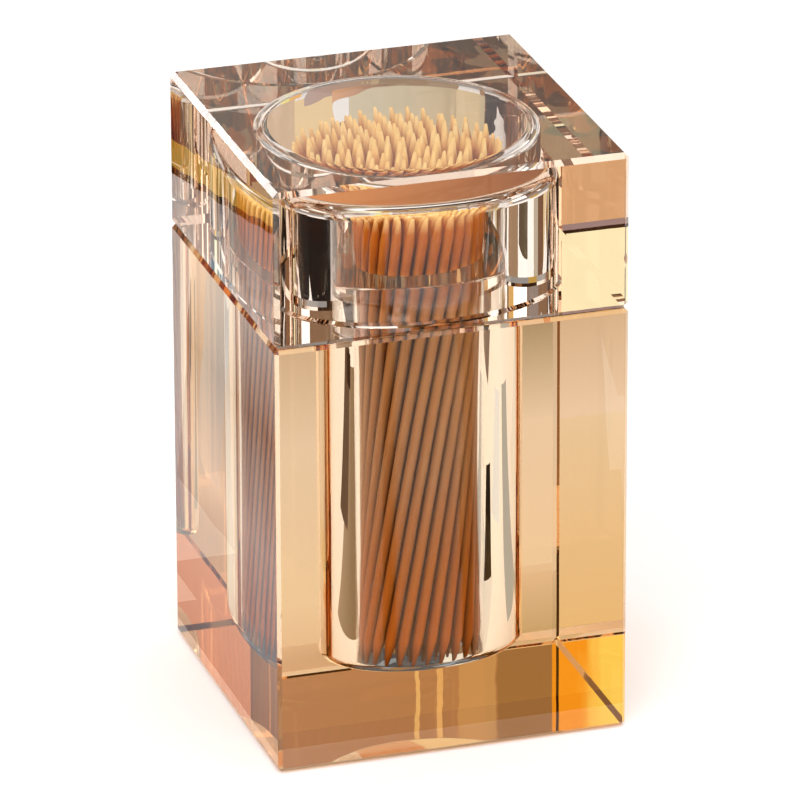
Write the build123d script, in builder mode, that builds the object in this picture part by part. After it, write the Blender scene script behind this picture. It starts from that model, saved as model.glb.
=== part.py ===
from build123d import *

import os
from math import asin, cos, floor, pi, sin, sqrt

# Toothpick holder of solid crystal glass: a square body with a round blind bore and a raised neck,
# a square lid with a wide blind cavity that drops over the neck, and the bundle of toothpicks that
# fills the bore. Millimetres, +Z up, origin at the centre of the base's underside.

# Toothpicks
stick_length = 68.0
stick_diameter = 1.8
stick_point_length = 4.0
stick_point_diameter = 0.4

# Sheaf of toothpicks in the bore
stick_gap = 0.05
stick_seat_gap = 0.3
bore_wall_gap = 0.3

# Body block
bore_diameter = 29.2
base_thickness = 9.0
stick_showing = 15.3
neck_height = 5.2
neck_wall = 4.7
bore_floor_radius = 1.6
neck_edge_radius = 0.3
body_edge_bevel = 0.5

# Lid block
lid_clearance = 0.35
lid_wall = 5.35
lid_roof = 5.6
tip_headroom = 1.6
cavity_roof_radius = 2.0
cavity_mouth_bevel = 0.4
lid_edge_bevel = 0.7

# Widths that follow from the bore outwards
neck_diameter = bore_diameter + 2 * neck_wall
cavity_diameter = neck_diameter + 2 * lid_clearance
block_width = cavity_diameter + 2 * lid_wall

# Heights that follow from the toothpicks' tips
stick_foot_height = base_thickness + stick_seat_gap
tip_height = stick_foot_height + stick_length
body_height = tip_height - stick_showing
neck_top_height = body_height + neck_height
cavity_roof_height = tip_height + tip_headroom
lid_top_height = cavity_roof_height + lid_roof


# Body: a square block with bevelled edges, the neck turned on its top and the bore sunk through both
with BuildPart() as body_block:
    with BuildSketch():
        Rectangle(block_width, block_width)
    extrude(amount=body_height)
    chamfer(body_block.edges(), length=body_edge_bevel)
    with BuildSketch(Plane.XY.offset(body_height)):
        Circle(neck_diameter / 2)
    extrude(amount=neck_height)
    with BuildSketch(Plane.XY.offset(base_thickness)):
        Circle(bore_diameter / 2)
    extrude(amount=neck_top_height - base_thickness, mode=Mode.SUBTRACT)
    rims = body_block.edges().filter_by(GeomType.CIRCLE).group_by(Axis.Z)
    fillet(rims[0], radius=bore_floor_radius)
    rims = body_block.edges().filter_by(GeomType.CIRCLE).group_by(Axis.Z)
    fillet(rims[-1], radius=neck_edge_radius)


# Lid: a square block of the body's outline with a blind cavity that goes over the neck and the tips
with BuildPart() as lid_block:
    with BuildSketch(Plane.XY.offset(body_height)):
        Rectangle(block_width, block_width)
    extrude(amount=lid_top_height - body_height)
    chamfer(lid_block.edges(), length=lid_edge_bevel)
    with BuildSketch(Plane.XY.offset(body_height)):
        Circle(cavity_diameter / 2)
    extrude(amount=cavity_roof_height - body_height, mode=Mode.SUBTRACT)
    rims = lid_block.edges().filter_by(GeomType.CIRCLE).group_by(Axis.Z)
    chamfer(rims[0], length=cavity_mouth_bevel)
    rims = lid_block.edges().filter_by(GeomType.CIRCLE).group_by(Axis.Z)
    fillet(rims[-1], radius=cavity_roof_radius)


# One toothpick: a round stick along +Z, pointed at both ends, with its lower point at the origin
with BuildPart() as toothpick:
    with BuildSketch(Plane.XZ):
        with BuildLine():
            Polyline(
                (0, 0),
                (stick_point_diameter / 2, 0),
                (stick_diameter / 2, stick_point_length),
                (stick_diameter / 2, stick_length - stick_point_length),
                (stick_point_diameter / 2, stick_length),
                (0, stick_length),
                close=True,
            )
        make_face()
    revolve(axis=Axis.Z)


# Rings of sticks lie close together at the sheaf's waist, round an innermost ring of three, as many
# as the bore has room for. The waist is halfway between the sticks' feet and the neck's top, and the
# sheaf leans round the bore's axis until the outer ring meets the bore's wall at both heights.
# Every ring turns with it, so an inner ring leans less.
stick_pitch = stick_diameter + stick_gap
outer_ring_reach = (bore_diameter - stick_diameter) / 2 - bore_wall_gap
innermost_radius = (stick_pitch + stick_gap) / sqrt(3)
ring_count = 1 + floor((outer_ring_reach - innermost_radius) / stick_pitch)
outer_waist_radius = innermost_radius + (ring_count - 1) * stick_pitch
waist_height = (stick_foot_height + neck_top_height) / 2
waist_rise = waist_height - stick_foot_height
outer_ring_slope = sqrt(outer_ring_reach**2 - outer_waist_radius**2) / waist_rise
slope_per_radius = outer_ring_slope / outer_waist_radius


def ring_planes(waist_radius):
    """Planes at the feet of one ring's sticks, each with its normal along the leaning stick."""
    slope = slope_per_radius * waist_radius
    chord = stick_pitch * sqrt(1 + slope**2)
    count = floor(pi / asin(chord / (2 * waist_radius)))
    planes = []
    for index in range(count):
        angle = 2 * pi * index / count
        outward = Vector(cos(angle), sin(angle), 0)
        sideways = Vector(-sin(angle), cos(angle), 0)
        along = sideways * slope + Vector(0, 0, 1)
        foot = outward * waist_radius - along * waist_rise + Vector(0, 0, waist_height)
        planes.append(Plane(origin=foot, x_dir=outward, z_dir=along))
    return planes


os.makedirs("parts", exist_ok=True)

body_block.part.label = "body_block"
export_step(body_block.part, "parts/body_block.step")

lid_block.part.label = "lid_block"
export_step(lid_block.part, "parts/lid_block.step")

# Toothpicks ring by ring, the outermost first
for ring in range(ring_count):
    with BuildPart() as toothpick_ring:
        with Locations(*ring_planes(outer_waist_radius - ring * stick_pitch)):
            add(toothpick.part)
    ring_name = f"toothpicks_ring_{ring + 1}"
    toothpick_ring.part.label = ring_name
    export_step(toothpick_ring.part, f"parts/{ring_name}.step")
    print(ring_name, len(toothpick_ring.part.solids()), "sticks")
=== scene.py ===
import math
import random

import bmesh
import bpy
from mathutils import Matrix, Vector


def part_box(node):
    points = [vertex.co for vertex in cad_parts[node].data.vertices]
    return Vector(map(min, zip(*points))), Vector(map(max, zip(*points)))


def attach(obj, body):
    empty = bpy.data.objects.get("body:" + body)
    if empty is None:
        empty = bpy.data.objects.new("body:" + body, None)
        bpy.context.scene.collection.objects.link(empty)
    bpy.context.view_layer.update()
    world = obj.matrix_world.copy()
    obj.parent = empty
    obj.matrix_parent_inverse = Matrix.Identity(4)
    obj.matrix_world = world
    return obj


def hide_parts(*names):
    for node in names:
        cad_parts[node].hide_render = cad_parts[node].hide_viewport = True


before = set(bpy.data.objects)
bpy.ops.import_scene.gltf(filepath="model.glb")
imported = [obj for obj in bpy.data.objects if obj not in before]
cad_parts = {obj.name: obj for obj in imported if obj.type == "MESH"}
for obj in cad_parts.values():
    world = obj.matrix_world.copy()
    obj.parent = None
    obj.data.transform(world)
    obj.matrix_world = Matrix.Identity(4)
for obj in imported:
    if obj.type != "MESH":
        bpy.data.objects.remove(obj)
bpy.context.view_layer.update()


# Body block
# A square block of clear amber crystal glass, sawn to size, drilled from above and polished on every
# face. A low round neck is turned round the bore's mouth for the lid, and the edges have a thin bevel.
body_low, body_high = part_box("body_block")
lid_low, lid_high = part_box("lid_block")
block_width = body_high.x - body_low.x
seam_height = lid_low.z
neck_top = body_high.z
neck_radius = 0.0193
bore_radius = 0.0146
bore_floor = 0.0090
bore_floor_rounding = 0.0016
neck_rim_rounding = 0.0003
body_bevel = 0.0005
turning_steps = 160
wide_rounding_steps = 10
fine_rounding_steps = 4
round_wall_reach = 0.45 * block_width
sharp_angle = math.radians(28)
same_place = 1e-6
merge_distance = 1e-7


def bevelled_block(low, high, bevel):
    """A bmesh of a square block as wide as the holder, between two heights, with bevelled edges."""
    bm = bmesh.new()
    bmesh.ops.create_cube(bm, size=1.0)
    bmesh.ops.scale(bm, vec=(block_width, block_width, high - low), verts=bm.verts)
    bmesh.ops.translate(bm, vec=(0, 0, (low + high) / 2), verts=bm.verts)
    bmesh.ops.bevel(
        bm, geom=bm.edges[:], offset=bevel, segments=1, profile=0.5, affect="EDGES", material=-1
    )
    return bm


def open_face(bm, height):
    """Takes the flat face at a height off a block, so that a turned shape can be let into it."""
    at_height = {vert for vert in bm.verts if abs(vert.co.z - height) < same_place}
    faces = [face for face in bm.faces if at_height.issuperset(face.verts)]
    bmesh.ops.delete(bm, geom=faces, context="FACES_ONLY")


def turn_profile(bm, profile, steps):
    """Turns a line of (radius, height) points round the Z axis, as a lathe or a drill would, and gives
    back the new vertices."""
    earlier = set(bm.verts)
    points = [bm.verts.new((radius, 0, height)) for radius, height in profile]
    lines = [bm.edges.new(pair) for pair in zip(points, points[1:])]
    bmesh.ops.spin(
        bm,
        geom=points + lines,
        cent=(0, 0, 0),
        axis=(0, 0, 1),
        angle=2 * math.pi,
        steps=steps,
        use_merge=True,
    )
    turned = [vert for vert in bm.verts if vert not in earlier]
    bmesh.ops.remove_doubles(bm, verts=turned, dist=merge_distance)
    return [vert for vert in bm.verts if vert not in earlier]


def round_ring(bm, radius, height, rounding, segments):
    """Rounds or bevels the circular edge that has this radius and height."""
    on_ring = {
        vert
        for vert in bm.verts
        if abs(vert.co.z - height) < same_place and abs(vert.co.xy.length - radius) < same_place
    }
    ring = [edge for edge in bm.edges if on_ring.issuperset(edge.verts)]
    bmesh.ops.bevel(
        bm, geom=ring, offset=rounding, segments=segments, profile=0.5, affect="EDGES", material=-1
    )


def finish_block(bm, name, glass):
    """Closes the face round the turned shape, polishes the round walls smooth and makes the object."""
    rims = [edge for edge in bm.edges if edge.is_boundary]
    bmesh.ops.triangle_fill(bm, use_beauty=True, edges=rims)
    bmesh.ops.recalc_face_normals(bm, faces=bm.faces[:])
    bm.normal_update()
    for face in bm.faces:
        face.smooth = all(vert.co.xy.length < round_wall_reach for vert in face.verts)
    for edge in bm.edges:
        edge.smooth = edge.calc_face_angle() < sharp_angle
    mesh = bpy.data.meshes.new(name)
    bm.to_mesh(mesh)
    bm.free()
    mesh.materials.append(glass)
    block = bpy.data.objects.new(name, mesh)
    bpy.context.scene.collection.objects.link(block)
    polish = block.modifiers.new("even_polish", "WEIGHTED_NORMAL")
    polish.keep_sharp = True
    return block


def hand_polish():
    """The finish of both blocks: a hard polish, with the faintest waves where the wheel went."""
    finish = bpy.data.node_groups.new("hand_polish", "ShaderNodeTree")
    finish.interface.new_socket("Roughness", in_out="OUTPUT", socket_type="NodeSocketFloat")
    finish.interface.new_socket("Height", in_out="OUTPUT", socket_type="NodeSocketFloat")
    place = finish.nodes.new("ShaderNodeTexCoord")
    wheel_marks = finish.nodes.new("ShaderNodeTexNoise")
    wheel_marks.inputs["Scale"].default_value = 90.0
    wheel_marks.inputs["Detail"].default_value = 1.0
    gloss = finish.nodes.new("ShaderNodeMapRange")
    gloss.inputs["To Min"].default_value = 0.001
    gloss.inputs["To Max"].default_value = 0.006
    result = finish.nodes.new("NodeGroupOutput")
    finish.links.new(place.outputs["Object"], wheel_marks.inputs["Vector"])
    finish.links.new(wheel_marks.outputs["Fac"], gloss.inputs["Value"])
    finish.links.new(gloss.outputs["Result"], result.inputs["Roughness"])
    finish.links.new(wheel_marks.outputs["Fac"], result.inputs["Height"])
    return finish


def amber_glass(name, kept_colour, depth, polish):
    """Polished crystal whose amber deepens with the length of glass that the light goes through."""
    glass = bpy.data.materials.new(name)
    glass.use_nodes = True
    tree = glass.node_tree
    shader = tree.nodes["Principled BSDF"]
    shader.inputs["Base Color"].default_value = (1.0, 1.0, 1.0, 1.0)
    shader.inputs["IOR"].default_value = 1.52
    shader.inputs["Transmission Weight"].default_value = 1.0
    amber = tree.nodes.new("ShaderNodeVolumeAbsorption")
    amber.inputs["Color"].default_value = kept_colour
    amber.inputs["Density"].default_value = depth
    finish = tree.nodes.new("ShaderNodeGroup")
    finish.node_tree = polish
    waves = tree.nodes.new("ShaderNodeBump")
    waves.inputs["Strength"].default_value = 1.0
    waves.inputs["Distance"].default_value = 0.00002
    tree.links.new(finish.outputs["Roughness"], shader.inputs["Roughness"])
    tree.links.new(finish.outputs["Height"], waves.inputs["Height"])
    tree.links.new(waves.outputs["Normal"], shader.inputs["Normal"])
    tree.links.new(amber.outputs["Volume"], tree.nodes["Material Output"].inputs["Volume"])
    return glass


body_mesh = bevelled_block(0.0, seam_height, body_bevel)
open_face(body_mesh, seam_height)
turn_profile(
    body_mesh,
    [
        (0.0, bore_floor),
        (bore_radius, bore_floor),
        (bore_radius, neck_top),
        (neck_radius, neck_top),
        (neck_radius, seam_height),
    ],
    turning_steps,
)
round_ring(body_mesh, bore_radius, bore_floor, bore_floor_rounding, wide_rounding_steps)
round_ring(body_mesh, bore_radius, neck_top, neck_rim_rounding, fine_rounding_steps)
round_ring(body_mesh, neck_radius, neck_top, neck_rim_rounding, fine_rounding_steps)
block_polish = hand_polish()
body_glass = amber_glass("amber_body_glass", (0.88, 0.55, 0.09, 1.0), 23.0, block_polish)
body = finish_block(body_mesh, "body_glass_block", body_glass)
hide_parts("body_block")
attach(body, "holder")


# Toothpicks
# Turned sticks of pale wood, pointed at both ends, that stand loose in the bore. They lean round its
# axis in a twisted sheaf, ring inside ring, and their upper points reach into the lid's cavity.
stick_length = 0.068
stick_unevenness = 0.0009
stick_radius = 0.0009
stick_sides = 8
stick_point_length = 0.0040
stick_point_radius = 0.0002
# The length below each point over which the painted shade between the sticks fades in.
between_shade_start = 0.0060
# The height at which the painted light along the sticks reaches its palest.
painted_light_top = 0.078
stick_gap = 0.00005
stick_seat_gap = 0.0003
bore_wall_gap = 0.0003
sticks_in_ring = (40, 34, 28, 22, 16, 9, 3)
stick_pitch = 2 * stick_radius + stick_gap
innermost_radius = (stick_pitch + stick_gap) / math.sqrt(3)
outer_waist_radius = innermost_radius + (len(sticks_in_ring) - 1) * stick_pitch
outer_ring_reach = bore_radius - stick_radius - bore_wall_gap
stick_foot_height = bore_floor + stick_seat_gap
waist_height = (stick_foot_height + neck_top) / 2
waist_rise = waist_height - stick_foot_height
outer_ring_slope = math.sqrt(outer_ring_reach**2 - outer_waist_radius**2) / waist_rise
slope_per_radius = outer_ring_slope / outer_waist_radius


def lay_colours(ramp, stops):
    """Gives a colour ramp its stops, each a share of the way along it and a colour."""
    for extra in range(len(stops) - len(ramp.elements)):
        ramp.elements.new(0.5)
    for element, (share, colour) in zip(ramp.elements, stops):
        element.position = share
        element.color = colour


def toothpick_wood():
    """Pale wood with fine fibres along each stick and a tone of its own for each, with painted shade in
    the grooves between the sticks. Its colour is also painted light and shade by height: palest on the
    points, as if lit from above, and deepest at the feet and just under the points, where the glass and
    the sheaf shade it."""
    wood = bpy.data.materials.new("toothpick_wood")
    wood.use_nodes = True
    tree = wood.node_tree
    shader = tree.nodes["Principled BSDF"]
    shader.inputs["Specular IOR Level"].default_value = 0.2
    place = tree.nodes.new("ShaderNodeAttribute")
    place.attribute_name = "along_stick"
    tone = tree.nodes.new("ShaderNodeAttribute")
    tone.attribute_name = "stick_tone"
    between_shade = tree.nodes.new("ShaderNodeAttribute")
    between_shade.attribute_name = "painted_shade_between_sticks"
    stretch = tree.nodes.new("ShaderNodeMapping")
    stretch.inputs["Scale"].default_value = (2600.0, 2600.0, 90.0)
    fibres = tree.nodes.new("ShaderNodeTexNoise")
    fibres.inputs["Scale"].default_value = 1.0
    fibres.inputs["Detail"].default_value = 4.0
    fibre_colour = tree.nodes.new("ShaderNodeValToRGB")
    fibre_stops = (
        (0.30, (0.95, 0.64, 0.29, 1.0)),
        (0.66, (1.00, 0.80, 0.46, 1.0)),
    )
    lay_colours(fibre_colour.color_ramp, fibre_stops)
    toned_colour = tree.nodes.new("ShaderNodeMix")
    toned_colour.data_type = "RGBA"
    toned_colour.blend_type = "MULTIPLY"
    toned_colour.inputs["B"].default_value = (0.96, 0.90, 0.78, 1.0)
    object_place = tree.nodes.new("ShaderNodeTexCoord")
    object_height = tree.nodes.new("ShaderNodeSeparateXYZ")
    # Painted light and shade by height: the wood is painted deep amber at the feet, where light comes
    # through the most glass, a greyer brown along the middle, deep orange just under the points, in the
    # shade of the sheaf, and palest on the points, as if lit from above.
    painted_light_share = tree.nodes.new("ShaderNodeMapRange")
    painted_light_share.inputs["From Min"].default_value = bore_floor
    painted_light_share.inputs["From Max"].default_value = painted_light_top
    painted_light_by_height = tree.nodes.new("ShaderNodeValToRGB")
    painted_light_stops = (
        (0.00, (0.50, 0.16, 0.01, 1.0)),
        (0.20, (0.46, 0.195, 0.02, 1.0)),
        (0.42, (0.45, 0.315, 0.26, 1.0)),
        (0.74, (0.48, 0.335, 0.235, 1.0)),
        (0.82, (0.47, 0.20, 0.03, 1.0)),
        (0.925, (0.53, 0.20, 0.02, 1.0)),
        (0.966, (1.00, 0.98, 0.79, 1.0)),
    )
    lay_colours(painted_light_by_height.color_ramp, painted_light_stops)
    painted_light_colour = tree.nodes.new("ShaderNodeMix")
    painted_light_colour.data_type = "RGBA"
    painted_light_colour.blend_type = "MULTIPLY"
    painted_light_colour.inputs["Factor"].default_value = 1.0
    # Painted shade between the sticks: the wood is darkened where neighbouring sticks would shade it.
    shaded_between_colour = tree.nodes.new("ShaderNodeMix")
    shaded_between_colour.data_type = "RGBA"
    shaded_between_colour.blend_type = "MULTIPLY"
    shaded_between_colour.inputs["B"].default_value = (0.30, 0.20, 0.12, 1.0)
    roughness = tree.nodes.new("ShaderNodeMapRange")
    roughness.inputs["To Min"].default_value = 0.72
    roughness.inputs["To Max"].default_value = 0.50
    relief = tree.nodes.new("ShaderNodeBump")
    relief.inputs["Strength"].default_value = 0.25
    relief.inputs["Distance"].default_value = 0.0001
    tree.links.new(place.outputs["Vector"], stretch.inputs["Vector"])
    tree.links.new(stretch.outputs["Vector"], fibres.inputs["Vector"])
    tree.links.new(fibres.outputs["Fac"], fibre_colour.inputs["Fac"])
    tree.links.new(fibre_colour.outputs["Color"], toned_colour.inputs["A"])
    tree.links.new(tone.outputs["Fac"], toned_colour.inputs["Factor"])
    tree.links.new(object_place.outputs["Object"], object_height.inputs["Vector"])
    tree.links.new(object_height.outputs["Z"], painted_light_share.inputs["Value"])
    tree.links.new(painted_light_share.outputs["Result"], painted_light_by_height.inputs["Fac"])
    tree.links.new(toned_colour.outputs["Result"], painted_light_colour.inputs["A"])
    tree.links.new(painted_light_by_height.outputs["Color"], painted_light_colour.inputs["B"])
    tree.links.new(painted_light_colour.outputs["Result"], shaded_between_colour.inputs["A"])
    tree.links.new(between_shade.outputs["Fac"], shaded_between_colour.inputs["Factor"])
    tree.links.new(shaded_between_colour.outputs["Result"], shader.inputs["Base Color"])
    tree.links.new(fibres.outputs["Fac"], roughness.inputs["Value"])
    tree.links.new(roughness.outputs["Result"], shader.inputs["Roughness"])
    tree.links.new(fibres.outputs["Fac"], relief.inputs["Height"])
    tree.links.new(relief.outputs["Normal"], shader.inputs["Normal"])
    return wood


def add_toothpick(bm, seat, inner, chance):
    """Turns one pointed stick, gives it its grain, its tone and its painted shade between the sticks,
    and seats it. Its own +X faces out of the sheaf, so its other sides, which lie in the grooves
    between the sticks, get painted shade up to the points."""
    length = stick_length - chance.uniform(0.0, stick_unevenness)
    profile = [
        (0.0, 0.0),
        (stick_point_radius, 0.0),
        (stick_radius, stick_point_length),
        (stick_radius, length - stick_point_length - between_shade_start),
        (stick_radius, length - stick_point_length),
        (stick_point_radius, length),
        (0.0, length),
    ]
    turned = turn_profile(bm, profile, stick_sides)
    grain_start = Vector((chance.random(), chance.random(), chance.random()))
    tone = chance.random()
    # Painted shade between the sticks: the sides that face other sticks, and all of each inner ring,
    # are darkened, fading out just below the point.
    for vert in turned:
        facing = vert.co.x / stick_radius
        side_shade = 1.0 if inner else min(1.0, 1.0 - facing)
        below_point = length - stick_point_length - vert.co.z
        depth = min(1.0, max(0.0, below_point / between_shade_start))
        vert[bm.verts.layers.float_vector["along_stick"]] = vert.co + grain_start
        vert[bm.verts.layers.float["stick_tone"]] = tone
        vert[bm.verts.layers.float["painted_shade_between_sticks"]] = side_shade * depth
    bmesh.ops.transform(bm, matrix=seat, verts=turned)


stick_wood = toothpick_wood()
stick_chance = random.Random(41)
for ring, count in enumerate(sticks_in_ring):
    waist_radius = outer_waist_radius - ring * stick_pitch
    ring_mesh = bmesh.new()
    ring_mesh.verts.layers.float_vector.new("along_stick")
    ring_mesh.verts.layers.float.new("stick_tone")
    ring_mesh.verts.layers.float.new("painted_shade_between_sticks")
    for index in range(count):
        angle = 2 * math.pi * index / count
        outward = Vector((math.cos(angle), math.sin(angle), 0))
        sideways = Vector((-math.sin(angle), math.cos(angle), 0))
        lean = sideways * slope_per_radius * waist_radius + Vector((0, 0, 1))
        foot = outward * waist_radius - lean * waist_rise + Vector((0, 0, waist_height))
        along = lean.normalized()
        seat = Matrix((outward, along.cross(outward), along)).transposed().to_4x4()
        seat.translation = foot
        add_toothpick(ring_mesh, seat, ring > 0, stick_chance)
    bmesh.ops.recalc_face_normals(ring_mesh, faces=ring_mesh.faces[:])
    for face in ring_mesh.faces:
        face.smooth = True
    ring_name = f"toothpick_sticks_{ring + 1}"
    mesh = bpy.data.meshes.new(ring_name)
    ring_mesh.to_mesh(mesh)
    ring_mesh.free()
    mesh.materials.append(stick_wood)
    sticks = bpy.data.objects.new(ring_name, mesh)
    bpy.context.scene.collection.objects.link(sticks)
    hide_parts(f"toothpicks_ring_{ring + 1}")
    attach(sticks, "holder")


# Lid block
# A lower block of the same glass and outline, with a wide blind cavity that drops over the neck and
# the sticks' points. Nothing fastens it: it only lies on the body, with a breath of air between them.
lid_top = lid_high.z
lid_air = 0.00005
cavity_radius = 0.01965
cavity_roof = 0.0789
cavity_roof_rounding = 0.0020
cavity_mouth_bevel = 0.0004
lid_bevel = 0.0007
lid_underside = seam_height + lid_air
lid_mesh = bevelled_block(lid_underside, lid_top, lid_bevel)
open_face(lid_mesh, lid_underside)
turn_profile(
    lid_mesh,
    [
        (0.0, cavity_roof),
        (cavity_radius, cavity_roof),
        (cavity_radius, lid_underside + cavity_mouth_bevel),
        (cavity_radius + cavity_mouth_bevel, lid_underside),
    ],
    turning_steps,
)
round_ring(lid_mesh, cavity_radius, cavity_roof, cavity_roof_rounding, wide_rounding_steps)
lid_glass = amber_glass("amber_lid_glass", (0.87, 0.55, 0.25, 1.0), 16.0, block_polish)
lid = finish_block(lid_mesh, "lid_glass_block", lid_glass)
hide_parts("lid_block")
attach(lid, "lid")


# Table
# A plain pale table top that the holder stands on, a hair below its underside, so that the base's
# polished face keeps its mirror. It has a painted glow, seen by the camera and in the glass, which is
# left off round and under the holder, so that the table there is painted darker, as in shade.
table_drop = 0.0002
table_size = 3.0
glow_start = 0.026
glow_end = 0.045
glow_strength = 0.14
table_mesh = bpy.data.meshes.new("table")
table_bmesh = bmesh.new()
bmesh.ops.create_grid(table_bmesh, x_segments=1, y_segments=1, size=table_size)
bmesh.ops.translate(table_bmesh, vec=(0, 0, -table_drop), verts=table_bmesh.verts)
table_bmesh.to_mesh(table_mesh)
table_bmesh.free()
table_paint = bpy.data.materials.new("pale_table")
table_paint.use_nodes = True
table_tree = table_paint.node_tree
table_shader = table_tree.nodes["Principled BSDF"]
table_shader.inputs["Base Color"].default_value = (0.80, 0.80, 0.80, 1.0)
table_shader.inputs["Roughness"].default_value = 0.9
table_shader.inputs["Emission Color"].default_value = (1.0, 1.0, 1.0, 1.0)
table_ray = table_tree.nodes.new("ShaderNodeLightPath")
seen_or_mirrored = table_tree.nodes.new("ShaderNodeMath")
seen_at_all = table_tree.nodes.new("ShaderNodeMath")
seen_at_all.use_clamp = True
table_place = table_tree.nodes.new("ShaderNodeTexCoord")
table_reach = table_tree.nodes.new("ShaderNodeVectorMath")
table_reach.operation = "LENGTH"
# Painted glow: none near the holder's axis, rising to full further out, which leaves the table round
# and under the holder darker.
table_glow = table_tree.nodes.new("ShaderNodeMapRange")
table_glow.inputs["From Min"].default_value = glow_start
table_glow.inputs["From Max"].default_value = glow_end
table_glow.inputs["To Max"].default_value = glow_strength
table_glow_seen = table_tree.nodes.new("ShaderNodeMath")
table_glow_seen.operation = "MULTIPLY"
table_tree.links.new(table_place.outputs["Object"], table_reach.inputs[0])
table_tree.links.new(table_reach.outputs["Value"], table_glow.inputs["Value"])
table_tree.links.new(table_glow.outputs["Result"], table_glow_seen.inputs[1])
table_tree.links.new(table_ray.outputs["Is Camera Ray"], seen_or_mirrored.inputs[0])
table_tree.links.new(table_ray.outputs["Is Glossy Ray"], seen_or_mirrored.inputs[1])
table_tree.links.new(seen_or_mirrored.outputs["Value"], seen_at_all.inputs[0])
table_tree.links.new(table_ray.outputs["Is Transmission Ray"], seen_at_all.inputs[1])
table_tree.links.new(seen_at_all.outputs["Value"], table_glow_seen.inputs[0])
table_tree.links.new(table_glow_seen.outputs["Value"], table_shader.inputs["Emission Strength"])
table_mesh.materials.append(table_paint)
table = bpy.data.objects.new("table", table_mesh)
bpy.context.scene.collection.objects.link(table)


# Studio light
# A room with a wide white ceiling and a warm brown wall, and three soft boxes at its front and sides.
# Glowing cards, which light nothing and which the camera does not see, stand round the holder, out of
# the picture, and show in its glass alone as painted reflections: clear glass has no look of its own,
# only that of what is round it.
room_brightness = 1.40
turns_to_inside = 2.5
turns_to_outside = 0.5
room_colours = (
    (0.00, (0.26, 0.26, 0.26, 1.0)),
    (0.20, (0.26, 0.26, 0.26, 1.0)),
    (0.30, (0.20, 0.12, 0.07, 1.0)),
    (0.55, (0.20, 0.12, 0.07, 1.0)),
    (0.72, (1.00, 1.00, 1.00, 1.0)),
    (1.00, (1.00, 1.00, 1.00, 1.0)),
)
room = bpy.data.worlds.new("soft_box_room")
room.use_nodes = True
room_tree = room.node_tree
room_place = room_tree.nodes.new("ShaderNodeTexCoord")
room_height = room_tree.nodes.new("ShaderNodeSeparateXYZ")
room_ramp = room_tree.nodes.new("ShaderNodeValToRGB")
lay_colours(room_ramp.color_ramp, room_colours)
room_tree.links.new(room_place.outputs["Generated"], room_height.inputs["Vector"])
room_tree.links.new(room_height.outputs["Z"], room_ramp.inputs["Fac"])
room_tree.links.new(room_ramp.outputs["Color"], room_tree.nodes["Background"].inputs["Color"])
room_tree.nodes["Background"].inputs["Strength"].default_value = room_brightness
bpy.context.scene.world = room


def painted_reflection_card(name, seen, corner, along, rise, colour, far_colour=None):
    """A flat glowing card from a corner and two edges, whose colour may fade along the second edge. It
    lights nothing and shows in the holder's glass alone, as a painted reflection: "mirrored" on its
    outer faces, "inside" it after a turn in the glass, or "round" it in every way."""
    card_bmesh = bmesh.new()
    tint = card_bmesh.verts.layers.float_color.new("card_tint")
    start = Vector(corner)
    edge = Vector(along)
    side = Vector(rise)
    far_tint = far_colour or colour
    places = (start, start + edge, start + edge + side, start + side)
    corners = [card_bmesh.verts.new(place) for place in places]
    for vert, corner_tint in zip(corners, (colour, colour, far_tint, far_tint)):
        vert[tint] = (*corner_tint, 1.0)
    card_bmesh.faces.new(corners)
    mesh = bpy.data.meshes.new(name)
    card_bmesh.to_mesh(mesh)
    card_bmesh.free()
    paint = bpy.data.materials.new(name)
    paint.use_nodes = True
    tree = paint.node_tree
    shader = tree.nodes["Principled BSDF"]
    shader.inputs["Base Color"].default_value = (0.0, 0.0, 0.0, 1.0)
    shader.inputs["Specular IOR Level"].default_value = 0.0
    # The card glows in its colour as a painted reflection and lights nothing.
    shader.inputs["Emission Strength"].default_value = 1.0
    card_tint = tree.nodes.new("ShaderNodeAttribute")
    card_tint.attribute_name = "card_tint"
    tree.links.new(card_tint.outputs["Color"], shader.inputs["Emission Color"])
    light_path = tree.nodes.new("ShaderNodeLightPath")
    turned = tree.nodes.new("ShaderNodeMath")
    turned.operation = "GREATER_THAN"
    turned.inputs[1].default_value = turns_to_inside if seen == "inside" else turns_to_outside
    unlit = tree.nodes.new("ShaderNodeMath")
    unlit.operation = "LESS_THAN"
    unlit.inputs[1].default_value = turns_to_outside
    shown = tree.nodes.new("ShaderNodeMath")
    shown.operation = "MULTIPLY"
    tree.links.new(light_path.outputs["Ray Depth"], turned.inputs[0])
    tree.links.new(light_path.outputs["Diffuse Depth"], unlit.inputs[0])
    tree.links.new(turned.outputs["Value"], shown.inputs[0])
    tree.links.new(unlit.outputs["Value"], shown.inputs[1])
    tree.links.new(shown.outputs["Value"], shader.inputs["Alpha"])
    mesh.materials.append(paint)
    card = bpy.data.objects.new(name, mesh)
    bpy.context.scene.collection.objects.link(card)
    card.visible_camera = False
    card.visible_diffuse = False
    card.visible_shadow = False
    card.visible_glossy = seen != "inside"
    card.visible_transmission = seen != "mirrored"
    return paint


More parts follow.
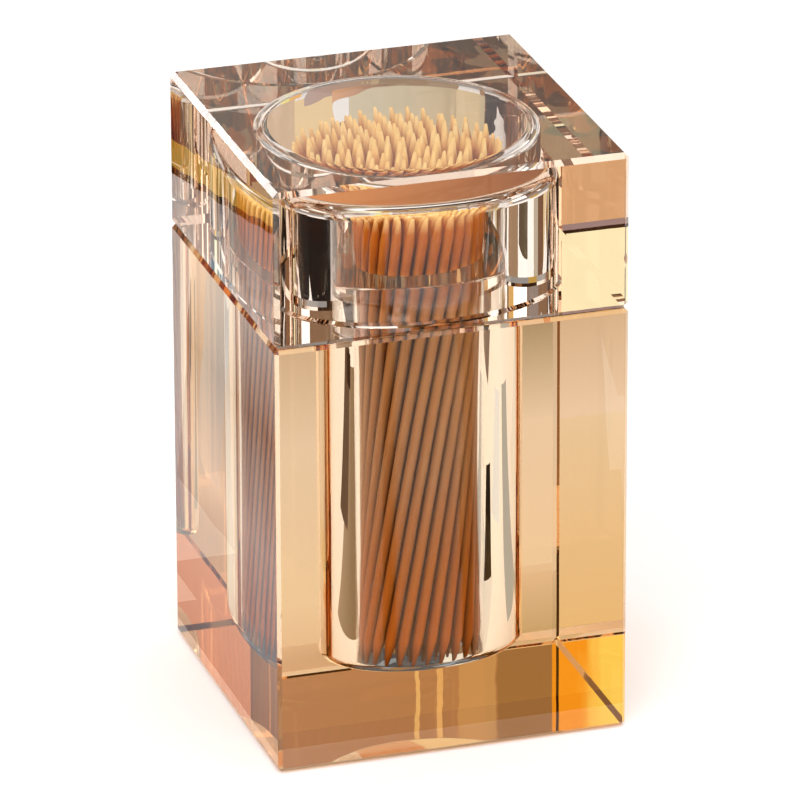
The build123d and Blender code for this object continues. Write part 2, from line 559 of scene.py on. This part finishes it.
# Cards on the left, seen inside the glass
painted_reflection_card(
    "black_card_left", "inside",
    (-0.150, -0.020, 0.004), (0, 0.110, 0), (0, 0, 0.032),
    (0.01, 0.01, 0.01),
)
painted_reflection_card(
    "dark_wall_card_left", "inside",
    (-0.150, -0.056, 0.040), (0, 0.052, 0), (0, 0, 0.062),
    (0.04, 0.02, 0.01),
)
painted_reflection_card(
    "black_card_back_left", "inside",
    (-0.150, 0.090, 0), (0.090, 0.0786, 0), (0, 0, 0.050),
    (0.02, 0.02, 0.02),
)
painted_reflection_card(
    "white_wall_card_left", "inside",
    (-0.150, 0.090, 0.124), (0.045, 0.060, 0), (0, 0, 0.020),
    (1.50, 1.50, 1.50),
)
painted_reflection_card(
    "brown_card_left", "inside",
    (-0.145, -0.016, 0.001), (0.100, 0, 0), (0, 0.036, 0),
    (0.26, 0.18, 0.11), (0.50, 0.40, 0.30),
)
painted_reflection_card(
    "dark_brown_card_left", "inside",
    (-0.150, 0.008, 0.0015), (0.070, 0, 0), (0, 0.026, 0),
    (0.16, 0.11, 0.08),
)
painted_reflection_card(
    "black_card_far_left", "inside",
    (-0.147, 0.003, 0.002), (0.013, 0, 0), (0, 0.019, 0),
    (0.05, 0.03, 0.02),
)

# Cards on the table to the right, seen inside the glass
painted_reflection_card(
    "grey_card_right", "inside",
    (0.042, 0.003, 0.001), (0.090, 0, 0), (-0.004, 0.028, 0),
    (0.54, 0.58, 0.60),
)
painted_reflection_card(
    "white_card_right", "inside",
    (0.080, -0.036, 0.001), (0.050, 0, 0), (0, 0.026, 0),
    (1.02, 1.12, 1.25),
)
painted_reflection_card(
    "black_card_right", "inside",
    (0.050, -0.042, 0.001), (0.038, -0.020, 0), (0.008, 0.014, 0),
    (0.01, 0.01, 0.01),
)
painted_reflection_card(
    "cool_card_right", "inside",
    (0.026, -0.026, 0.0008), (0.032, 0, 0), (0.0099, -0.034, 0),
    (1.06, 1.06, 1.06), (0.86, 0.96, 1.08),
)
painted_reflection_card(
    "far_cool_card_right", "inside",
    (0.0359, -0.060, 0.0008), (0.032, 0, 0), (0.0160, -0.055, 0),
    (0.86, 0.96, 1.08), (1.04, 1.10, 1.16),
)
painted_reflection_card(
    "mauve_card_right", "inside",
    (0.118, -0.112, 0.001), (0.040, 0, 0), (0, 0.042, 0),
    (0.30, 0.24, 0.22),
)
painted_reflection_card(
    "brown_card_far_right", "inside",
    (0.122, 0.126, 0.001), (0.022, 0, 0), (0, 0.022, 0),
    (0.36, 0.22, 0.09),
)
painted_reflection_card(
    "black_card_far_right", "inside",
    (0.092, 0.116, 0.001), (0.028, 0, 0), (0, 0.032, 0),
    (0.01, 0.01, 0.01),
)

# Cards at the back, seen inside the glass
painted_reflection_card(
    "brown_card_back", "inside",
    (-0.004, 0.150, 0.028), (0, 0, 0.072), (0.062, 0, 0),
    (0.57, 0.38, 0.34), (0.52, 0.32, 0.17),
)
painted_reflection_card(
    "dark_brown_card_back", "inside",
    (0.058, 0.150, 0.028), (0.092, 0, 0), (0, 0, 0.072),
    (0.40, 0.25, 0.12),
)
painted_reflection_card(
    "light_brown_card_back", "inside",
    (0.0512, 0.149, 0.050), (0.0062, 0, 0), (0, 0, 0.050),
    (0.66, 0.46, 0.24),
)
painted_reflection_card(
    "first_streak_card_back", "inside",
    (0.0439, 0.149, 0.058), (0.0007, 0, 0), (0, 0, 0.019),
    (0.95, 0.74, 0.40),
)
painted_reflection_card(
    "second_streak_card_back", "inside",
    (0.0475, 0.149, 0.058), (0.0010, 0, 0), (0, 0, 0.019),
    (0.90, 0.66, 0.34),
)
painted_reflection_card(
    "tan_card_back", "inside",
    (-0.065, 0.150, 0.008), (0.050, 0, 0), (0, 0, 0.040),
    (0.80, 0.54, 0.32),
)
painted_reflection_card(
    "gold_card_back", "inside",
    (-0.036, 0.149, 0.048), (0.011, 0, 0), (0, 0, 0.0315),
    (1.20, 1.06, 0.26),
)
painted_reflection_card(
    "amber_card_back", "inside",
    (-0.025, 0.149, 0.048), (0, 0, 0.0315), (0.0035, 0, 0),
    (1.20, 1.06, 0.26), (1.14, 0.53, 0.03),
)
painted_reflection_card(
    "orange_card_back", "inside",
    (-0.0215, 0.149, 0.048), (0.012, 0, 0), (0, 0, 0.0315),
    (1.14, 0.53, 0.03),
)
painted_reflection_card(
    "grey_line_card_back", "inside",
    (-0.050, 0.149, 0.0795), (0.048, 0, 0), (0, 0, 0.0205),
    (0.42, 0.34, 0.38),
)
painted_reflection_card(
    "pale_card_back", "inside",
    (-0.050, 0.150, 0.100), (0.048, 0, 0), (0, 0, 0.046),
    (1.18, 1.26, 0.94),
)
painted_reflection_card(
    "high_black_card_back", "inside",
    (0, 0.149, 0.102), (0.024, 0, 0), (0, 0, 0.034),
    (0.01, 0.01, 0.01),
)
painted_reflection_card(
    "far_high_black_card_back", "inside",
    (0.024, 0.149, 0.118), (0.075, 0, 0), (0, 0, 0.0150),
    (0.01, 0.01, 0.01),
)
painted_reflection_card(
    "small_white_card_back", "inside",
    (0.066, 0.149, 0.1335), (0.036, 0, 0), (0, 0, 0.0045),
    (1.30, 1.30, 1.30),
)
painted_reflection_card(
    "black_card_back", "inside",
    (0.019, 0.150, 0.003), (0.016, 0, 0), (0, 0, 0.019),
    (0.01, 0.01, 0.01),
)
painted_reflection_card(
    "low_black_card_back", "inside",
    (0.038, 0.149, 0), (0.064, 0, 0), (0, 0, 0.0115),
    (0.01, 0.01, 0.01),
)
painted_reflection_card(
    "small_black_card_back", "inside",
    (-0.062, 0.149, 0.006), (0.012, 0, 0), (0, 0, 0.016),
    (0.01, 0.01, 0.01),
)
painted_reflection_card(
    "chestnut_card_back", "inside",
    (0.022, 0.149, 0.0268), (0, 0, 0.0142), (0.046, 0, 0),
    (0.90, 0.46, 0.22), (0.32, 0.16, 0.11),
)
painted_reflection_card(
    "cream_card_back", "inside",
    (0.036, 0.150, 0), (0, 0, 0.0285), (0.114, 0, 0),
    (0.80, 0.70, 0.49), (0.66, 0.52, 0.30),
)
painted_reflection_card(
    "beige_card_far_back", "inside",
    (-0.030, 0.195, 0.001), (0.066, 0, 0), (0, 0.040, 0),
    (1.05, 0.77, 0.40),
)

# Cards at the front and the right, seen inside the glass
painted_reflection_card(
    "peach_card_front", "inside",
    (0.045, -0.150, 0.055), (0.050, 0, 0), (0, 0, 0.060),
    (1.14, 0.64, 0.48),
)
painted_reflection_card(
    "gold_card_right", "inside",
    (0.150, -0.112, 0.110), (0, 0.030, 0), (0, 0, 0.024),
    (0.80, 0.50, 0.18),
)
painted_reflection_card(
    "low_gold_card_right", "inside",
    (0.150, -0.010, 0.060), (0, 0.045, 0), (0, 0, 0.034),
    (0.62, 0.40, 0.10),
)
painted_reflection_card(
    "high_mauve_card_right", "inside",
    (0.150, -0.010, 0.098), (0, 0.060, 0), (0, 0, 0.036),
    (0.33, 0.27, 0.24),
)
painted_reflection_card(
    "white_wall_card_right", "inside",
    (0.150, 0.051, 0.128), (0, 0.026, 0), (0, 0, 0.018),
    (1.90, 1.90, 1.90),
)
painted_reflection_card(
    "brown_card_right", "inside",
    (0.150, -0.115, 0.002), (0, 0.055, 0), (0, 0, 0.030),
    (0.40, 0.27, 0.17),
)
painted_reflection_card(
    "dark_card_right", "inside",
    (0.150, -0.056, 0.016), (0, 0.042, 0), (0, 0, 0.016),
    (0.13, 0.10, 0.06),
)
painted_reflection_card(
    "grey_wall_card_right", "inside",
    (0.150, 0.018, 0.002), (0, 0.027, 0), (0, 0, 0.030),
    (0.58, 0.52, 0.42),
)
painted_reflection_card(
    "dark_wall_card_right", "inside",
    (0.150, 0.045, 0), (0, 0.050, 0), (0, 0, 0.030),
    (0.22, 0.12, 0.07),
)
painted_reflection_card(
    "cream_card_right", "inside",
    (0.150, 0.095, 0), (0, 0.055, 0), (0, 0, 0.028),
    (0.90, 0.72, 0.42),
)

# Cards above, seen inside the glass
painted_reflection_card(
    "dark_card_above", "inside",
    (0.016, -0.090, 0.150), (0.104, 0, 0), (0, 0.110, 0),
    (0.04, 0.02, 0.01),
)
painted_reflection_card(
    "brown_card_above", "inside",
    (-0.036, -0.074, 0.150), (0.042, 0, 0), (0, 0.042, 0),
    (0.30, 0.17, 0.07),
)
painted_reflection_card(
    "dark_card_over", "inside",
    (-0.052, -0.032, 0.150), (0.068, 0, 0), (0, 0.052, 0),
    (0.04, 0.02, 0.01),
)

# Cards on the table behind, seen through the glass, which paint shade and amber light on the table just
# behind the holder
painted_reflection_card(
    "beige_card_behind", "round",
    (-0.040, 0.100, 0.001), (0.078, 0, 0), (0, 0.048, 0),
    (1.02, 1.06, 1.15), (0.74, 0.70, 0.66),
)
painted_reflection_card(
    "tan_card_behind", "round",
    (0.038, 0.100, 0.001), (0.052, 0, 0), (0, 0.036, 0),
    (1.00, 1.04, 1.12), (0.50, 0.50, 0.44),
)
painted_reflection_card(
    "pale_card_behind", "round",
    (-0.040, 0.046, 0.001), (0.130, 0, 0), (0, 0.054, 0),
    (1.07, 1.06, 1.01), (1.02, 1.06, 1.14),
)
painted_reflection_card(
    "near_pale_card_behind", "round",
    (-0.030, 0.032, 0.001), (0.048, 0, 0), (0, 0.014, 0),
    (1.00, 0.92, 0.86), (1.07, 1.06, 1.01),
)
painted_reflection_card(
    "honey_card_behind", "inside",
    (0.009, 0.0262, 0.0012), (0.016, 0, 0), (-0.0255, 0.072, 0),
    (1.01, 0.88, 0.59), (1.00, 1.03, 1.00),
)
painted_reflection_card(
    "brown_card_behind", "round",
    (-0.002, 0.027, 0.001), (0.012, 0, 0), (0, 0.011, 0),
    (0.77, 0.42, 0.21),
)
painted_reflection_card(
    "grey_card_behind", "round",
    (0.0185, 0.0265, 0.001), (0.022, 0, 0), (0, 0.022, 0),
    (0.72, 0.65, 0.47), (1.00, 0.92, 0.84),
)
painted_reflection_card(
    "grey_card_back", "round",
    (0.002, 0.150, 0.122), (0, 0, 0.050), (0.118, 0, 0),
    (0.62, 0.66, 0.64), (0.04, 0.03, 0.06),
)

# Cards mirrored on the left of both blocks
# A bright white glowing strip far to the left, which paints the highlight along the upper left bevel of
# the lid.
painted_reflection_card(
    "painted_highlight_strip_far_left", "mirrored",
    (-0.4516, 1.0000, 0.3893), (0.0521, 0, -0.0389), (0.0120, 0, 0.0160),
    (7.0, 7.0, 7.0),
)
painted_reflection_card(
    "low_mauve_card_left", "mirrored",
    (-0.0261, -0.0226, 0.0005), (0, 0.055, 0), (-0.0182, 0.0573, 0),
    (0.45, 0.42, 0.44), (0.90, 0.88, 0.88),
)
painted_reflection_card(
    "mid_mauve_card_left", "mirrored",
    (-0.0443, 0.0347, 0.0005), (0, 0.055, 0), (-0.0128, 0.0401, 0),
    (0.90, 0.88, 0.88), (0.30, 0.28, 0.30),
)
painted_reflection_card(
    "high_mauve_card_left", "mirrored",
    (-0.0571, 0.0748, 0.0005), (0, 0.055, 0), (-0.0124, 0.0389, 0),
    (0.30, 0.28, 0.30), (1.05, 1.05, 1.05),
)
painted_reflection_card(
    "mid_blue_card_left", "mirrored",
    (-0.0443, 0.0687, 0.0007), (0, 0.012, 0), (-0.0128, 0.0401, 0),
    (0.86, 0.90, 0.96), (0.20, 0.46, 0.66),
)
painted_reflection_card(
    "high_blue_card_left", "mirrored",
    (-0.0571, 0.1088, 0.0007), (0, 0.012, 0), (-0.0124, 0.0389, 0),
    (0.20, 0.46, 0.66), (0.70, 0.94, 1.08),
)
painted_reflection_card(
    "lid_mauve_card_left", "mirrored",
    (-0.0695, 0.1137, 0.0005), (0, 0.060, 0), (-0.0124, 0.0389, 0),
    (1.00, 0.94, 0.90), (0.48, 0.42, 0.42),
)
painted_reflection_card(
    "lid_amber_card_left", "mirrored",
    (-0.0695, 0.1137, 0.0008), (0, 0.006, 0), (-0.0124, 0.0389, 0),
    (0.30, 0.10, 0.01),
)
painted_reflection_card(
    "lid_gold_card_left", "mirrored",
    (-0.0746, 0.2016, 0.0010), (-0.0088, -0.0382, 0), (-0.0034, 0.0115, 0),
    (1.02, 0.62, 0.10),
)
painted_reflection_card(
    "lid_black_card_left", "mirrored",
    (-0.0736, 0.1985, 0.0010), (-0.0088, -0.0382, 0), (-0.0010, 0.0031, 0),
    (0.00, 0.00, 0.00),
)
painted_reflection_card(
    "lid_dark_card_left", "mirrored",
    (-0.0780, 0.2131, 0.0008), (-0.0088, -0.0382, 0), (-0.0095, 0.0298, 0),
    (0.06, 0.05, 0.06),
)

# Cards mirrored on the front of both blocks
painted_reflection_card(
    "dark_card_front", "mirrored",
    (-0.026, -0.030, 0.001), (0.0525, 0, 0), (0.0662, -0.2080, 0),
    (0.05, 0.03, 0.02),
)
painted_reflection_card(
    "gold_card_front", "mirrored",
    (-0.023, -0.034, 0.0015), (0.0525, 0, 0), (0.0233, -0.073, 0),
    (0.90, 0.48, 0.06), (0.05, 0.03, 0.02),
)
painted_reflection_card(
    "brown_card_front", "mirrored",
    (0.062, -0.135, 0.001), (0.060, 0, 0), (0.030, -0.130, 0),
    (0.40, 0.22, 0.12),
)

# A glowing mottled card under the base, whose shards show from above as a painted mosaic of light and
# dark in the glass
under_paint = painted_reflection_card(
    "mottled_card_under", "inside",
    (-0.0245, -0.0245, -0.0001), (0.049, 0, 0), (0, 0.049, 0),
    (0.4, 0.3, 0.2),
)
under_tree = under_paint.node_tree
under_place = under_tree.nodes.new("ShaderNodeTexCoord")
under_shards = under_tree.nodes.new("ShaderNodeTexVoronoi")
under_shards.distance = "MANHATTAN"
under_shards.inputs["Scale"].default_value = 150.0
under_colour = under_tree.nodes.new("ShaderNodeValToRGB")
under_colour.color_ramp.interpolation = "CONSTANT"
under_stops = (
    (0.00, (0.05, 0.09, 0.14, 1.0)),
    (0.35, (0.34, 0.21, 0.12, 1.0)),
    (0.60, (0.34, 0.46, 0.62, 1.0)),
    (0.75, (0.10, 0.12, 0.16, 1.0)),
    (0.88, (1.20, 1.25, 1.20, 1.0)),
)
lay_colours(under_colour.color_ramp, under_stops)
under_tree.links.new(under_place.outputs["Object"], under_shards.inputs["Vector"])
under_tree.links.new(under_shards.outputs["Color"], under_colour.inputs["Fac"])
under_shader = under_tree.nodes["Principled BSDF"]
under_tree.links.new(under_colour.outputs["Color"], under_shader.inputs["Emission Color"])


soft_box_aim = Vector((0, 0, 0.045))


def soft_box(name, place, size, radiance):
    """A square lamp with a diffuser that faces the holder, out of the picture."""
    lamp = bpy.data.lights.new(name, "AREA")
    lamp.size = size
    lamp.energy = radiance * math.pi * size * size
    box = bpy.data.objects.new(name, lamp)
    box.location = place
    box.rotation_euler = (Vector(place) - soft_box_aim).to_track_quat("Z", "Y").to_euler()
    box.visible_camera = False
    bpy.context.scene.collection.objects.link(box)


soft_box("soft_box_left", (-0.50, -0.40, 0.50), 0.60, 1.75)
soft_box("soft_box_right", (0.60, -0.20, 0.45), 0.42, 1.75)
soft_box("soft_box_front", (-0.17, -0.62, 0.76), 0.60, 2.8)


# Camera
# A long lens a little left of the front and well above the table, as in the photograph. Its place,
# tilt and roll are those at which the block's corners fall where the photograph has them.
camera_azimuth = math.radians(-17.65)
camera_elevation = math.radians(22.64)
camera_roll = math.radians(-0.16)
camera_distance = 1.1
focal_pixels = 7970.0
picture_pixels = 800.0
aim_right = -0.00036
aim_up = 0.00024
back = Vector(
    (
        math.sin(camera_azimuth) * math.cos(camera_elevation),
        -math.cos(camera_azimuth) * math.cos(camera_elevation),
        math.sin(camera_elevation),
    )
)
level_right = Vector((math.cos(camera_azimuth), math.sin(camera_azimuth), 0))
level_up = back.cross(level_right)
right = level_right * math.cos(camera_roll) + level_up * math.sin(camera_roll)
up = level_up * math.cos(camera_roll) - level_right * math.sin(camera_roll)
lens = bpy.data.cameras.new("photo_camera")
lens.sensor_width = 36.0
lens.lens = lens.sensor_width * focal_pixels / picture_pixels
lens.clip_end = 100.0
camera = bpy.data.objects.new("photo_camera", lens)
camera_place = Matrix((right, up, back)).transposed().to_4x4()
picture_middle = Vector((0, 0, lid_top / 2)) - right * aim_right - up * aim_up
camera_place.translation = picture_middle + back * camera_distance
camera.matrix_world = camera_place
bpy.context.scene.collection.objects.link(camera)
bpy.context.scene.camera = camera


# Picture settings
# Colours are shown as they are written. Light goes through many glass faces here, so its paths are
# long, and the edges that the glass mirrors stay crisp.
bpy.context.scene.view_settings.view_transform = "Standard"
bpy.context.scene.cycles.max_bounces = 32
bpy.context.scene.cycles.transmission_bounces = 32
bpy.context.scene.cycles.glossy_bounces = 16
bpy.context.scene.cycles.blur_glossy = 0.0
bpy.context.scene.cycles.use_denoising = True
